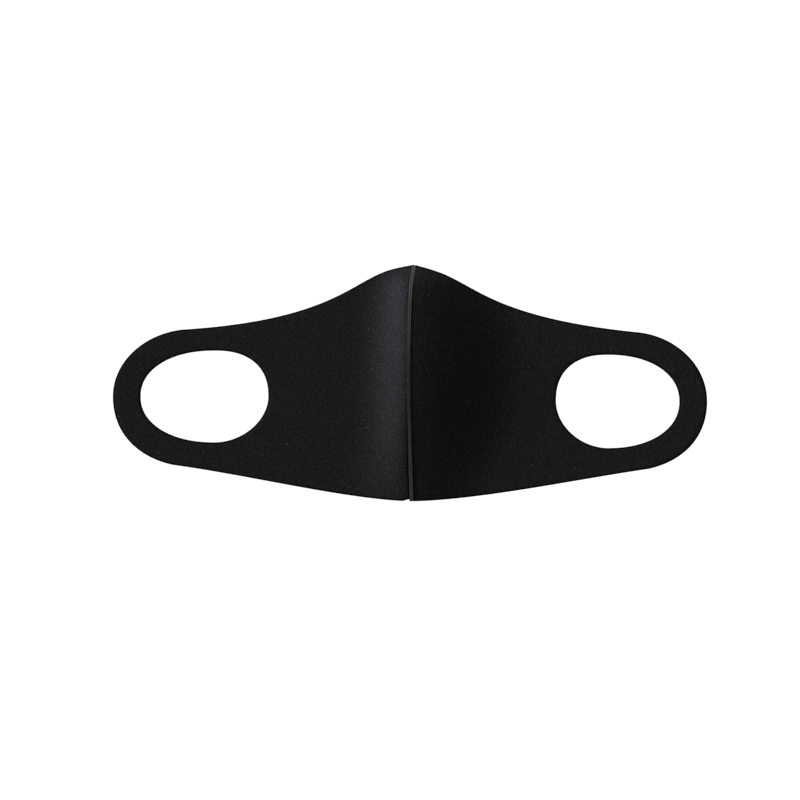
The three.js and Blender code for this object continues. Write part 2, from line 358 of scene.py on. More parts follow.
flat_meshes = {name: flat_sheet(name, panel) for name, panel in panels.items()}
for name, mesh in flat_meshes.items():
    up_share = sum(polygon.normal.z > 0 for polygon in mesh.polygons) / len(mesh.polygons)
    print(f"{name}: {len(mesh.polygons)} cells, {up_share:.0%} facing up")

# %% [markdown]
# ## What each point of the sheet carries
#
# The rule that raises the cloth needs, at each point, the ridge's four qualities there and how far the
# nearest cut edge is. The bonded edge at the seam doesn't count as one, except near the chin on the left
# panel, where it is rounded like a cut edge and gets the painted rim shade, a painted dark line beside the
# fin. The knit needs to know where the point lay in the uncut cloth, so that its stitches don't stretch
# down the flanks. All of it is stored on the points as named attributes, which both Geometry Nodes and
# materials can read.

# %% Distance to the nearest cut edge, apart from the bonded one at the seam
def distance_to_cut(mesh, panel):
    points = np.array([vertex.co for vertex in mesh.vertices])[:, :2] / millimetre
    sheet = bmesh.new()
    sheet.from_mesh(mesh)
    ends = np.array([[v.index for v in edge.verts] for edge in sheet.edges if edge.is_boundary])
    sheet.free()
    off_seam = np.abs(panel["side"] * (points[:, 0] - seam_x(points[:, 1]))) > seam_width / 2
    # Near the chin the left panel's seam edge counts as a cut edge: it is rounded, and the painted rim
    # shade draws a dark line there.
    counts_as_cut = off_seam | (points[:, 1] < panel["seam_rim_shade_below"])
    ends = ends[counts_as_cut[ends].any(axis=1)]
    start = points[ends[:, 0]]
    run = points[ends[:, 1]] - start
    nearest = np.full(len(points), np.inf)
    for from_here, way in zip(start, run):
        share = np.clip((points - from_here) @ way / (way @ way), 0, 1)
        nearest = np.minimum(nearest, np.linalg.norm(points - from_here - share[:, None] * way, axis=1))
    return nearest


# %% Length of cloth between the seam and each point, down the flank
flank_steps = 40


def cloth_from_seam(points, panel):
    along = along_at(points[:, 1])
    outward = np.maximum(panel["side"] * (points[:, 0] - seam_x(points[:, 1])), 0)
    reach = flank_width * ridge_value(panel["reach"], along)
    rise = ridge_rise * ridge_value("rise", along)
    crown = ridge_value(panel["crown"], along)[:, None]
    fall = panel["fall"]
    shares = (np.arange(flank_steps) + 0.5) / flank_steps
    out = np.minimum(outward / reach, 1)[:, None] * shares
    left = 1 - out
    slope = (rise / reach)[:, None] * left ** (fall - 1) * (crown * left - fall * (1 + crown * out))
    added = (np.sqrt(1 + slope**2) - 1).mean(axis=1) * np.minimum(outward, reach)
    return outward + added


# %% Store them on the flat sheets
def store(mesh, name, kind, values):
    attribute = mesh.attributes.new(name, kind, "POINT")
    field = "vector" if kind == "FLOAT_VECTOR" else "value"
    attribute.data.foreach_set(field, np.ravel(values).astype(np.float32))


def lay_in_cloth(mesh, panel):
    points = np.array([vertex.co for vertex in mesh.vertices])[:, :2] / millimetre
    out = cloth_from_seam(points, panel)
    return np.column_stack([panel["side"] * out, points[:, 1], np.zeros(len(points))]) * millimetre


for name, panel in panels.items():
    mesh = flat_meshes[name]
    heights = np.array([vertex.co.y for vertex in mesh.vertices]) / millimetre
    columns = {"lean": "lean", "rise": "rise", "reach": panel["reach"], "crown": panel["crown"]}
    for kept_as, column in columns.items():
        store(mesh, kept_as, "FLOAT", ridge_value(column, along_at(heights)))
    store(mesh, "cut_distance", "FLOAT", distance_to_cut(mesh, panel) * millimetre)
    store(mesh, "cloth_lay", "FLOAT_VECTOR", lay_in_cloth(mesh, panel))
    print(name, "carries", [attribute.name for attribute in mesh.attributes if not attribute.is_internal])

# %% [markdown]
# ## A helper for node trees
#
# Shape trees and materials are both made of nodes with a few settings and links each. One small function
# adds a node, sets it and wires it, so that each line below reads as one step.

# %% Add a node with its settings and links
def add_node(tree, kind, settings=None, inputs=None):
    """Adds a node and fills its inputs. A node given for an input stands for its first output."""
    node = tree.nodes.new(kind)
    for name, value in (settings or {}).items():
        setattr(node, name, value)
    for key, value in (inputs or {}).items():
        source = value.outputs[0] if isinstance(value, bpy.types.Node) else value
        if isinstance(source, bpy.types.NodeSocket):
            tree.links.new(source, node.inputs[key])
        else:
            node.inputs[key].default_value = source
    return node


# %% Start a shape tree, and turn its result into a plain mesh
def shape_tree(name, sizes):
    """A tree with a geometry and these named numbers as inputs. Returns it and its inputs."""
    tree = bpy.data.node_groups.new(name, "GeometryNodeTree")
    tree.interface.new_socket("Geometry", in_out="INPUT", socket_type="NodeSocketGeometry")
    for size in sizes:
        tree.interface.new_socket(size, in_out="INPUT", socket_type="NodeSocketFloat")
    tree.interface.new_socket("Geometry", in_out="OUTPUT", socket_type="NodeSocketGeometry")
    return tree, tree.nodes.new("NodeGroupInput").outputs


def shaped(name, mesh, tree, sizes):
    """A new object with the mesh that the tree makes of this one with these sizes."""
    mesh.materials.append(knit_cloth)
    piece = bpy.data.objects.new(name, mesh)
    bpy.context.scene.collection.objects.link(piece)
    modifier = piece.modifiers.new(tree.name, "NODES")
    modifier.node_group = tree
    for socket in tree.interface.items_tree:
        if socket.in_out == "INPUT" and socket.name in sizes:
            modifier[socket.identifier] = float(sizes[socket.name])
    depsgraph = bpy.context.evaluated_depsgraph_get()
    made = bpy.data.meshes.new_from_object(piece.evaluated_get(depsgraph), depsgraph=depsgraph)
    piece.modifiers.remove(modifier)
    piece.data = made
    made.name = name
    bpy.data.meshes.remove(mesh)
    return piece


# %% [markdown]
# ## The knit cloth
#
# The cloth is a fine polyester and elastane knit, brushed smooth and bonded through its thickness, which
# gives a soft, nearly matt black. Its stitches stand in columns called wales, about 0.5 mm apart. One
# pixel of the picture is 0.5 mm, so they are drawn 0.9 mm apart and 0.75 mm tall, coarse enough to show.
# The brushed fibres over them give a random grain, which is a noise of 0.5 mm spots, turned off its own
# grid so that no rows show. The gaps between the fibres swallow light, so the gloss is far under that of
# a solid piece of the same plastic, and what is left of it is cooler than the dye. The last half
# millimetre by every cut edge is painted dark, a painted shade for the rounded rim. A few specks of pale
# lint lie on it.

# %% One way to turn hex colours to linear
def hex_colour(code):
    """An sRGB hex colour as the linear colour that nodes take."""
    parts = [int(code[i:i + 2], 16) / 255 for i in (0, 2, 4)]
    return [v / 12.92 if v <= 0.04045 else ((v + 0.055) / 1.055) ** 2.4 for v in parts] + [1]


def new_material(name, roughness, ior, specular_level):
    material = bpy.data.materials.new(name)
    material.use_nodes = True
    shader = material.node_tree.nodes["Principled BSDF"]
    shader.inputs["Roughness"].default_value = roughness
    shader.inputs["IOR"].default_value = ior
    shader.inputs["Specular IOR Level"].default_value = specular_level
    return material, material.node_tree, shader


# %% Sizes of the stitches, the grain, the lint and the painted shade along the cut edges
wale = 0.9 * millimetre
course = 0.75 * millimetre
stitch_stray = 0.7 * millimetre
stray_spacing = millimetre / 0.7
grain = 0.53 * millimetre
fibre_height = 0.12 * millimetre
off_grid = (0.9, 0.5, 0.4)
fibre_share = 6.0  # how much the fibres' noise adds to the relief
stitch_share = 0.25  # how much the stitches add
grain_low = 2.5  # the relief at which the cloth is darkest
grain_high = 3.5  # the relief at which it is palest
lint_spacing = millimetre / 0.095
lint_edge = 0.034  # of the spacing, from the middle of a speck
lint_core = 0.012  # the same, to where it is as pale as it gets
lint_missing = 0.80  # of the places where a speck could lie
rim_shade_full = 0.5 * millimetre
rim_shade_end = 1 * millimetre
rim_shade_tone = 0.12  # of the cloth's tone, where the painted shade along a cut edge is full
print("Stitches across the mask:", round(mask_width * millimetre / wale))

# %% Smooth black knit, with its stitches, grain, a few specks of lint and painted shade by its cut edges
knit_cloth, tree, shader = new_material(
    "Smooth polyester knit", roughness=0.36, ior=1.54, specular_level=0.015)
lay = add_node(tree, "ShaderNodeAttribute", {"attribute_name": "cloth_lay"})
stray = add_node(tree, "ShaderNodeTexNoise", None,
                 {"Vector": lay.outputs["Vector"], "Scale": 1 / stray_spacing, "Detail": 2})
shift = add_node(tree, "ShaderNodeVectorMath", {"operation": "MULTIPLY_ADD"},
                 {0: stray.outputs["Color"], 1: (stitch_stray, stitch_stray, 0), 2: lay.outputs["Vector"]})
stitches = add_node(tree, "ShaderNodeVectorMath", {"operation": "MULTIPLY"},
                    {0: shift, 1: (1 / wale, 1 / course, 0)})
place = add_node(tree, "ShaderNodeSeparateXYZ", None, {0: stitches})
arm = add_node(tree, "ShaderNodeMath", {"operation": "PINGPONG"}, {0: place.outputs["X"], 1: 0.5})
slant = add_node(tree, "ShaderNodeMath", {"operation": "ADD"}, {0: arm, 1: place.outputs["Y"]})
turn = add_node(tree, "ShaderNodeMath", {"operation": "MULTIPLY"}, {0: slant, 1: math.tau})
strand = add_node(tree, "ShaderNodeMath", {"operation": "SINE"}, {0: turn})
wale_turn = add_node(tree, "ShaderNodeMath", {"operation": "MULTIPLY"},
                     {0: place.outputs["X"], 1: math.tau})
valley = add_node(tree, "ShaderNodeMath", {"operation": "COSINE"}, {0: wale_turn})
relief = add_node(tree, "ShaderNodeMath", {"operation": "SUBTRACT"}, {0: strand, 1: valley})
tipped = add_node(tree, "ShaderNodeMapping", None,
                  {"Vector": lay.outputs["Vector"], "Rotation": off_grid})
fibres = add_node(tree, "ShaderNodeTexNoise", None,
                  {"Vector": tipped, "Scale": 1 / grain, "Detail": 1, "Roughness": 0.5})
faint = add_node(tree, "ShaderNodeMath", {"operation": "MULTIPLY"}, {0: relief, 1: stitch_share})
height = add_node(tree, "ShaderNodeMath", {"operation": "MULTIPLY_ADD"},
                  {0: fibres, 1: fibre_share, 2: faint})
bump = add_node(tree, "ShaderNodeBump", None,
                {"Strength": 0.20, "Distance": fibre_height, "Height": height})
tree.links.new(bump.outputs["Normal"], shader.inputs["Normal"])
shade = add_node(tree, "ShaderNodeMapRange", None,
                 {"Value": height, "From Min": grain_low, "From Max": grain_high})
cloth_colour = add_node(tree, "ShaderNodeMix", {"data_type": "RGBA"},
                        {0: shade, 6: hex_colour("131313"), 7: hex_colour("232323")})
lint = add_node(tree, "ShaderNodeTexVoronoi", {"voronoi_dimensions": "2D"},
                {"Vector": lay.outputs["Vector"], "Scale": 1 / lint_spacing})
lint_here = add_node(tree, "ShaderNodeMapRange", None,
                     {"Value": lint.outputs["Distance"], "From Min": lint_edge, "From Max": lint_core})
lint_pick = add_node(tree, "ShaderNodeSeparateColor", None, {0: lint.outputs["Color"]})
lint_rare = add_node(tree, "ShaderNodeMath", {"operation": "GREATER_THAN"},
                     {0: lint_pick, 1: lint_missing})
lint_share = add_node(tree, "ShaderNodeMath", {"operation": "MULTIPLY"}, {0: lint_here, 1: lint_rare})
with_lint = add_node(tree, "ShaderNodeMix", {"data_type": "RGBA"},
                     {0: lint_share, 6: cloth_colour.outputs[2], 7: hex_colour("4a4a4a")})
# Painted shade: within half a millimetre of a cut edge the cloth's colour is darkened to 12 percent, in
# place of the shade on the rounded rim.
rim = add_node(tree, "ShaderNodeAttribute", {"attribute_name": "cut_distance"})
rim_shade_share = add_node(tree, "ShaderNodeMapRange", None,
                     {"Value": rim.outputs["Fac"], "From Min": rim_shade_full, "From Max": rim_shade_end,
                      "To Min": rim_shade_tone})
painted_rim_shade = add_node(tree, "ShaderNodeVectorMath", {"operation": "SCALE"},
                    {0: with_lint.outputs[2], 3: rim_shade_share})
tree.links.new(painted_rim_shade.outputs[0], shader.inputs["Base Color"])
shader.inputs["Specular Tint"].default_value = hex_colour("a298ff")
print(f"{knit_cloth.name}: {len(tree.nodes)} nodes")

# %% The bare cut, a little lighter than the cloth, with painted light that brightens it towards the nose
fluff_spacing = 0.625 * millimetre
fluff_height = 0.1 * millimetre
nose_light_full_at = 50 * millimetre
cut_edge, tree, shader = new_material(
    "Cut edge of the knit", roughness=0.9, ior=1.54, specular_level=0.1)
place = add_node(tree, "ShaderNodeTexCoord")
ends = add_node(tree, "ShaderNodeTexNoise", None,
                {"Vector": place.outputs["Object"], "Scale": 1 / fluff_spacing, "Detail": 3,
                 "Roughness": 0.65})
fluff = add_node(tree, "ShaderNodeMapRange", None, {"Value": ends, "From Min": 0.3, "From Max": 0.7})
edge_colour = add_node(tree, "ShaderNodeMix", {"data_type": "RGBA"},
                       {0: fluff, 6: hex_colour("2a2a2a"), 7: hex_colour("383838")})
height = add_node(tree, "ShaderNodeSeparateXYZ", None, {0: place.outputs["Object"]})
# Painted highlight: the cut's colour is raised up to 3.2 times towards the nose, in place of the brighter
# light on the fin's nose end.
nose_light_gain = add_node(tree, "ShaderNodeMapRange", {"interpolation_type": "SMOOTHSTEP"},
                 {"Value": height.outputs["Y"], "From Min": 0, "From Max": nose_light_full_at, "To Min": 1,
                  "To Max": 3.2})
cut_and_nose_light = add_node(tree, "ShaderNodeVectorMath", {"operation": "SCALE"},
                {0: edge_colour.outputs[2], 3: nose_light_gain})
tree.links.new(cut_and_nose_light.outputs[0], shader.inputs["Base Color"])
bump = add_node(tree, "ShaderNodeBump", None, {"Strength": 0.6, "Distance": fluff_height, "Height": ends})
tree.links.new(bump.outputs["Normal"], shader.inputs["Normal"])
print(f"{cut_edge.name}: {len(tree.nodes)} nodes")

# %% [markdown]
# ## The panels
#
# On the real mask the seam is curved and the edge of each panel is not, so joining them lifts the cloth
# off the table: it leaves the seam at a slope and comes down to lie flat on each side. Each height across
# it is (1 - out) to the power fall, times (1 + crown x out), and out runs from 0 at the seam to 1 on the
# flat. The left flank drops at once and then runs out slowly, which is a fall of 5, and the right one is
# broad and round, a fall of 2. A crown as large as the fall would leave the seam level, and a smaller one
# makes a crease. The shape follows that rule all over, so Geometry Nodes raise the flat sheet by it. The
# same tree gives the sheet its thickness straight upwards and rounds the two corners of every cut edge. A
# Solidify modifier would push the faces apart along their normals and open a gap beside the seam.

# %% The tree that raises a flat sheet to a panel
panel_sizes = {
    "Ridge Rise": ridge_rise * millimetre,
    "Flank Width": flank_width * millimetre,
    "Seam Lean": seam_lean * millimetre,
    "Cloth Thickness": cloth_thick * millimetre,
    "Rim Radius": rim_radius * millimetre,
    "Unevenness": 0.15 * millimetre,
    "Unevenness Spacing": 28 * millimetre,
    "Seed": 4,
}
tree, size = shape_tree("Raise a panel", ["Side", "Fall", *panel_sizes])
column = {
    name: add_node(tree, "GeometryNodeInputNamedAttribute", {"data_type": "FLOAT"}, {"Name": name})
    for name in ("lean", "rise", "reach", "crown", "cut_distance")
}
place = add_node(tree, "ShaderNodeSeparateXYZ", None, {0: add_node(tree, "GeometryNodeInputPosition")})
seam_place = add_node(tree, "ShaderNodeMath", {"operation": "MULTIPLY"},
                      {0: column["lean"], 1: size["Seam Lean"]})
off_seam = add_node(tree, "ShaderNodeMath", {"operation": "SUBTRACT"},
                    {0: place.outputs["X"], 1: seam_place})
sideways = add_node(tree, "ShaderNodeMath", {"operation": "MULTIPLY"}, {0: off_seam, 1: size["Side"]})
outward = add_node(tree, "ShaderNodeMath", {"operation": "MAXIMUM"}, {0: sideways, 1: 0.0})
reach = add_node(tree, "ShaderNodeMath", {"operation": "MULTIPLY"},
                 {0: column["reach"], 1: size["Flank Width"]})
share = add_node(tree, "ShaderNodeMath", {"operation": "DIVIDE"}, {0: outward, 1: reach})
out = add_node(tree, "ShaderNodeMath", {"operation": "MINIMUM"}, {0: share, 1: 1.0})
inner = add_node(tree, "ShaderNodeMath", {"operation": "SUBTRACT"}, {0: 1.0, 1: out})
fall = add_node(tree, "ShaderNodeMath", {"operation": "POWER"}, {0: inner, 1: size["Fall"]})
belly = add_node(tree, "ShaderNodeMath", {"operation": "MULTIPLY_ADD"},
                 {0: column["crown"], 1: out, 2: 1.0})
form = add_node(tree, "ShaderNodeMath", {"operation": "MULTIPLY"}, {0: fall, 1: belly})
crest = add_node(tree, "ShaderNodeMath", {"operation": "MULTIPLY"},
                 {0: column["rise"], 1: size["Ridge Rise"]})
raised = add_node(tree, "ShaderNodeMath", {"operation": "MULTIPLY"}, {0: form, 1: crest})

# The cloth is nowhere quite flat on the table: a slow noise lifts it by a hair.
seeded = add_node(tree, "ShaderNodeCombineXYZ", None,
                  {0: place.outputs["X"], 1: place.outputs["Y"], 2: size["Seed"]})
spacing = add_node(tree, "ShaderNodeMath", {"operation": "DIVIDE"},
                   {0: 1.0, 1: size["Unevenness Spacing"]})
waves = add_node(tree, "ShaderNodeTexNoise", None, {"Vector": seeded, "Scale": spacing, "Detail": 1.0})
lifted = add_node(tree, "ShaderNodeMath", {"operation": "MULTIPLY_ADD"},
                  {0: waves, 1: size["Unevenness"], 2: raised})
to_height = add_node(tree, "ShaderNodeCombineXYZ", None, {2: lifted})
hung = add_node(tree, "GeometryNodeSetPosition", None,
                {"Geometry": size["Geometry"], "Offset": to_height})

# Straight up through a sloping cloth is longer than its thickness by one over the normal's upward part.
facing = add_node(tree, "ShaderNodeSeparateXYZ", None, {0: add_node(tree, "GeometryNodeInputNormal")})
through = add_node(tree, "ShaderNodeMath", {"operation": "DIVIDE"},
                   {0: size["Cloth Thickness"], 1: facing.outputs["Z"]})

# Within the rim radius of a cut edge both faces draw in along a quarter of a circle.
into_rim = add_node(tree, "ShaderNodeMath", {"operation": "SUBTRACT"},
                    {0: size["Rim Radius"], 1: column["cut_distance"]})
inside_rim = add_node(tree, "ShaderNodeMath", {"operation": "MAXIMUM"}, {0: into_rim, 1: 0.0})
squared = add_node(tree, "ShaderNodeMath", {"operation": "POWER"}, {0: inside_rim, 1: 2.0})
radius_squared = add_node(tree, "ShaderNodeMath", {"operation": "POWER"}, {0: size["Rim Radius"], 1: 2.0})
height_squared = add_node(tree, "ShaderNodeMath", {"operation": "SUBTRACT"},
                          {0: radius_squared, 1: squared})
rim_height = add_node(tree, "ShaderNodeMath", {"operation": "SQRT"}, {0: height_squared})
drawn_in = add_node(tree, "ShaderNodeMath", {"operation": "SUBTRACT"},
                    {0: size["Rim Radius"], 1: rim_height})
upper_height = add_node(tree, "ShaderNodeMath", {"operation": "SUBTRACT"}, {0: through, 1: drawn_in})

kept = add_node(tree, "GeometryNodeCaptureAttribute", None, {"Geometry": hung})
kept.capture_items.new("FLOAT", "Upper")
kept.capture_items.new("FLOAT", "Under")
tree.links.new(upper_height.outputs[0], kept.inputs[1])
tree.links.new(drawn_in.outputs[0], kept.inputs[2])
under_offset = add_node(tree, "ShaderNodeCombineXYZ", None, {2: kept.outputs[2]})
upper_offset = add_node(tree, "ShaderNodeCombineXYZ", None, {2: kept.outputs[1]})
pulled = add_node(tree, "GeometryNodeExtrudeMesh", None,
                  {"Mesh": kept, "Offset Scale": 0.0, "Individual": False})
upper_face = add_node(tree, "GeometryNodeSetPosition", None,
                      {"Geometry": pulled, "Selection": pulled.outputs["Top"], "Offset": upper_offset})
not_top = add_node(tree, "FunctionNodeBooleanMath", {"operation": "NOT"}, {0: pulled.outputs["Top"]})
side_foot = add_node(tree, "GeometryNodeSetPosition", None,
                     {"Geometry": upper_face, "Selection": not_top, "Offset": under_offset})
under_face = add_node(tree, "GeometryNodeSetPosition", None, {"Geometry": kept, "Offset": under_offset})
turned_over = add_node(tree, "GeometryNodeFlipFaces", None, {"Mesh": under_face})
both = add_node(tree, "GeometryNodeJoinGeometry")
tree.links.new(turned_over.outputs[0], both.inputs[0])
tree.links.new(side_foot.outputs[0], both.inputs[0])
closed = add_node(tree, "GeometryNodeMergeByDistance", None,
                  {"Geometry": both, "Distance": merge_within})
whole = add_node(tree, "GeometryNodeRealizeInstances", None, {"Geometry": closed})
in_cloth = add_node(tree, "GeometryNodeSetMaterial", None, {"Geometry": whole, "Material": knit_cloth})
finished = add_node(tree, "GeometryNodeSetMaterial", None,
                    {"Geometry": in_cloth, "Selection": pulled.outputs["Side"], "Material": cut_edge})
add_node(tree, "NodeGroupOutput", None, {0: finished})
panel_tree = tree

# %% Raise both panels
cloth = {}
for name, panel in panels.items():
    sizes = dict(panel_sizes, Side=panel["side"], Fall=panel["fall"])
    cloth[name] = shaped(name + "_cloth", flat_meshes[name], panel_tree, sizes)
    mesh = cloth[name].data
    top = max(vertex.co.z for vertex in mesh.vertices) / millimetre
    print(f"{mesh.name}: {len(mesh.polygons)} faces, {top:.1f} mm high, materials",
          [material.name for material in mesh.materials])

# %% [markdown]
# ## The centre seam
#
# The two panels meet face to face and are bonded under heat, and the cut is made close to the bond. What
# shows is a narrow fin: the two cut edges side by side, a little paler than the cloth, with a fine groove
# between. A section that is the same all the way calls for a sweep. The tree sweeps one small section for
# each ply along the seam's line while that is still level, then lifts every point to the ridge, so that
# the sections stay upright and the ends stay flush with the cloth. Half way along, the fin is pinched
# narrower and flops to the right, so its left wall shows, and the section has points at the cloth's level
# for that to start at.

# %% The seam's line, with the heights that it joins and how the fin bends
seam_pinch = 0.34
seam_flop = 0.35
bow_power = 1.5
seam_steps = 160


def seam_line():
    y = np.linspace(-half_height, half_height, seam_steps + 1)
    along = along_at(y)
    under = ridge_rise * ridge_value("rise", along)
    across = []
    for panel in panels.values():
        steepness = panel["fall"] - ridge_value(panel["crown"], along)
        across.append(under * steepness / (flank_width * ridge_value(panel["reach"], along)))
    through = cloth_thick * np.sqrt(1 + np.abs(across).max(axis=0) ** 2 + np.gradient(under, y) ** 2)
    bow = np.sin(np.pi * along) ** bow_power
    mesh = bpy.data.meshes.new("seam_line")
    points = np.column_stack([seam_x(y), y, np.zeros(len(y))]) * millimetre
    mesh.from_pydata(points.tolist(), [(i, i + 1) for i in range(len(y) - 1)], [])
    store(mesh, "seam_place", "FLOAT", seam_x(y) * millimetre)
    store(mesh, "under", "FLOAT", under * millimetre)
    store(mesh, "through", "FLOAT", through * millimetre)
    store(mesh, "pinch", "FLOAT", 1 - seam_pinch * bow)
    store(mesh, "flop", "FLOAT", seam_flop * bow * millimetre)
    store(mesh, "tilt", "FLOAT", ridge_value("fin_tilt", along))
    store(mesh, "cut_distance", "FLOAT", np.full(len(y), millimetre))
    return mesh


# %% The tree that sweeps the seam's two plies
wall_from = 0.3  # of a normal's length sideways, from where a face is a ply's wall and not its cut
seam_sizes = {
    "Seam Width": seam_width * millimetre,
    "Seam Height": seam_proud * millimetre,
    "Cloth Thickness": cloth_thick * millimetre,
    "Corner Radius": 0.12 * millimetre,
    "Ply Gap": 0.06 * millimetre,
    "Wobble": 0.10 * millimetre,
    "Wobble Spacing": 5 * millimetre,
    "Seed": 7,
}
tree, size = shape_tree("Sweep the seam", list(seam_sizes))
half_seam = add_node(tree, "ShaderNodeMath", {"operation": "MULTIPLY"}, {0: size["Seam Width"], 1: 0.5})
ply_width = add_node(tree, "ShaderNodeMath", {"operation": "SUBTRACT"},
                     {0: half_seam, 1: size["Ply Gap"]})
ply_tall = add_node(tree, "ShaderNodeMath", {"operation": "ADD"},
                    {0: size["Seam Height"], 1: size["Cloth Thickness"]})
section = add_node(tree, "GeometryNodeCurvePrimitiveQuadrilateral", None,
                   {"Width": ply_width, "Height": ply_tall})
rounded = add_node(tree, "GeometryNodeFilletCurve", None,
                   {"Curve": section, "Radius": size["Corner Radius"]})
rise = add_node(tree, "ShaderNodeMath", {"operation": "SUBTRACT"},
                {0: size["Cloth Thickness"], 1: size["Seam Height"]})
down = add_node(tree, "ShaderNodeMath", {"operation": "MULTIPLY"}, {0: rise, 1: 0.5})
parted = add_node(tree, "GeometryNodeSubdivideCurve", None, {"Curve": rounded, "Cuts": 3})
plies = add_node(tree, "GeometryNodeJoinGeometry")
for ply in (-0.5, 0.5):
    aside = add_node(tree, "ShaderNodeMath", {"operation": "MULTIPLY"}, {0: half_seam, 1: ply})
    place = add_node(tree, "ShaderNodeCombineXYZ", None, {0: aside, 1: down})
    moved = add_node(tree, "GeometryNodeTransform", None, {"Geometry": parted, "Translation": place})
    tree.links.new(moved.outputs[0], plies.inputs[0])
line = add_node(tree, "GeometryNodeMeshToCurve", None, {"Mesh": size["Geometry"]})
upright = add_node(tree, "GeometryNodeSetCurveNormal", {"mode": "Z_UP"}, {"Curve": line})
swept = add_node(tree, "GeometryNodeCurveToMesh", None,
                 {"Curve": upright, "Profile Curve": plies, "Fill Caps": True})

# Each point moves from the level section to the ridge: its foot to the underside, the rest above that.
place = add_node(tree, "ShaderNodeSeparateXYZ", None, {0: add_node(tree, "GeometryNodeInputPosition")})
column = {
    name: add_node(tree, "GeometryNodeInputNamedAttribute", {"data_type": "FLOAT"}, {"Name": name})
    for name in ("seam_place", "under", "through", "pinch", "flop", "tilt")
}
above = add_node(tree, "ShaderNodeMath", {"operation": "MAXIMUM"}, {0: place.outputs["Z"], 1: 0.0})
below = add_node(tree, "ShaderNodeMath", {"operation": "MINIMUM"}, {0: place.outputs["Z"], 1: 0.0})
below_share = add_node(tree, "ShaderNodeMath", {"operation": "DIVIDE"},
                       {0: below, 1: size["Cloth Thickness"]})
sunk = add_node(tree, "ShaderNodeMath", {"operation": "MULTIPLY"}, {0: below_share, 1: column["through"]})
cloth_top = add_node(tree, "ShaderNodeMath", {"operation": "ADD"},
                     {0: column["under"], 1: column["through"]})
foot = add_node(tree, "ShaderNodeMath", {"operation": "ADD"}, {0: cloth_top, 1: sunk})
ply_side = add_node(tree, "ShaderNodeMath", {"operation": "SUBTRACT"},
                    {0: place.outputs["X"], 1: column["seam_place"]})
ply_sign = add_node(tree, "ShaderNodeMath", {"operation": "SIGN"}, {0: ply_side})
apart = add_node(tree, "ShaderNodeMath", {"operation": "MULTIPLY"},
                 {0: ply_sign, 1: size["Wobble Spacing"]})
row = add_node(tree, "ShaderNodeCombineXYZ", None, {0: apart, 1: place.outputs["Y"], 2: size["Seed"]})
pace = add_node(tree, "ShaderNodeMath", {"operation": "DIVIDE"}, {0: 1.0, 1: size["Wobble Spacing"]})
cut_line = add_node(tree, "ShaderNodeTexNoise", None, {"Vector": row, "Scale": pace, "Detail": 3.0})
uneven = add_node(tree, "ShaderNodeVectorMath", {"operation": "SUBTRACT"},
                  {0: cut_line.outputs["Color"], 1: (0.5, 0.5, 0.5)})
proud_share = add_node(tree, "ShaderNodeMath", {"operation": "DIVIDE"},
                       {0: above, 1: size["Seam Height"]})
wobble = add_node(tree, "ShaderNodeMath", {"operation": "MULTIPLY"}, {0: proud_share, 1: size["Wobble"]})
strayed = add_node(tree, "ShaderNodeVectorMath", {"operation": "SCALE"}, {0: uneven, 3: wobble})
narrow = add_node(tree, "ShaderNodeMix", {"data_type": "FLOAT"},
                  {0: proud_share, 2: 1.0, 3: column["pinch"]})
flopped = add_node(tree, "ShaderNodeMath", {"operation": "MULTIPLY_ADD"},
                   {0: column["flop"], 1: proud_share, 2: column["seam_place"]})
nipped = add_node(tree, "ShaderNodeMath", {"operation": "MULTIPLY_ADD"},
                  {0: ply_side, 1: narrow, 2: flopped})
upright_top = add_node(tree, "ShaderNodeMath", {"operation": "ADD"}, {0: foot, 1: above})
lean_share = add_node(tree, "ShaderNodeMath", {"operation": "MULTIPLY"},
                      {0: column["tilt"], 1: proud_share})
stood = add_node(tree, "ShaderNodeMath", {"operation": "MULTIPLY_ADD"},
                 {0: ply_side, 1: lean_share, 2: upright_top})
level = add_node(tree, "ShaderNodeCombineXYZ", None, {0: nipped, 1: place.outputs["Y"], 2: stood})
stray = add_node(tree, "ShaderNodeSeparateXYZ", None, {0: strayed})
across = add_node(tree, "ShaderNodeCombineXYZ", None, {0: stray.outputs["X"], 2: stray.outputs["Z"]})
lifted = add_node(tree, "GeometryNodeSetPosition", None,
                  {"Geometry": swept, "Position": level, "Offset": across})
laid = add_node(tree, "GeometryNodeStoreNamedAttribute", {"data_type": "FLOAT_VECTOR"},
                {"Geometry": lifted, "Name": "cloth_lay", "Value": level})
whole = add_node(tree, "GeometryNodeRealizeInstances", None, {"Geometry": laid})
in_cloth = add_node(tree, "GeometryNodeSetMaterial", None, {"Geometry": whole, "Material": knit_cloth})
facing = add_node(tree, "ShaderNodeSeparateXYZ", None, {0: add_node(tree, "GeometryNodeInputNormal")})
faces_side = add_node(tree, "ShaderNodeMath", {"operation": "ABSOLUTE"}, {0: facing.outputs["X"]})
is_cut = add_node(tree, "ShaderNodeMath", {"operation": "LESS_THAN"}, {0: faces_side, 1: wall_from})
finished = add_node(tree, "GeometryNodeSetMaterial", None,
                    {"Geometry": in_cloth, "Selection": is_cut, "Material": cut_edge})
add_node(tree, "NodeGroupOutput", None, {0: finished})
seam_tree = tree

# %% Sweep the seam
sharp_from = 30
seam_fin = shaped("seam_fin", seam_line(), seam_tree, seam_sizes)
seam_fin.data.shade_smooth()
seam_fin.data.set_sharp_from_angle(angle=math.radians(sharp_from))
points = np.array([vertex.co for vertex in seam_fin.data.vertices]) / millimetre
print("seam_fin reaches from", points.min(axis=0).round(2), "to", points.max(axis=0).round(2), "mm")

# %% [markdown]
# ## Give each piece its place in the frame
#
# Every piece stands for one CAD node and rides on the mask's only body.

# %% Ride and replace
for name, piece in cloth.items():
    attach(piece, "root")
    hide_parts(name)
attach(seam_fin, "root")
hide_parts("centre_seam")


for name, piece in cloth.items():
    mesh = piece.data

# %% [markdown]
# ## The table
#
# The mask lies on a matt white table, far wider than the picture, so no end of it shows from any side.

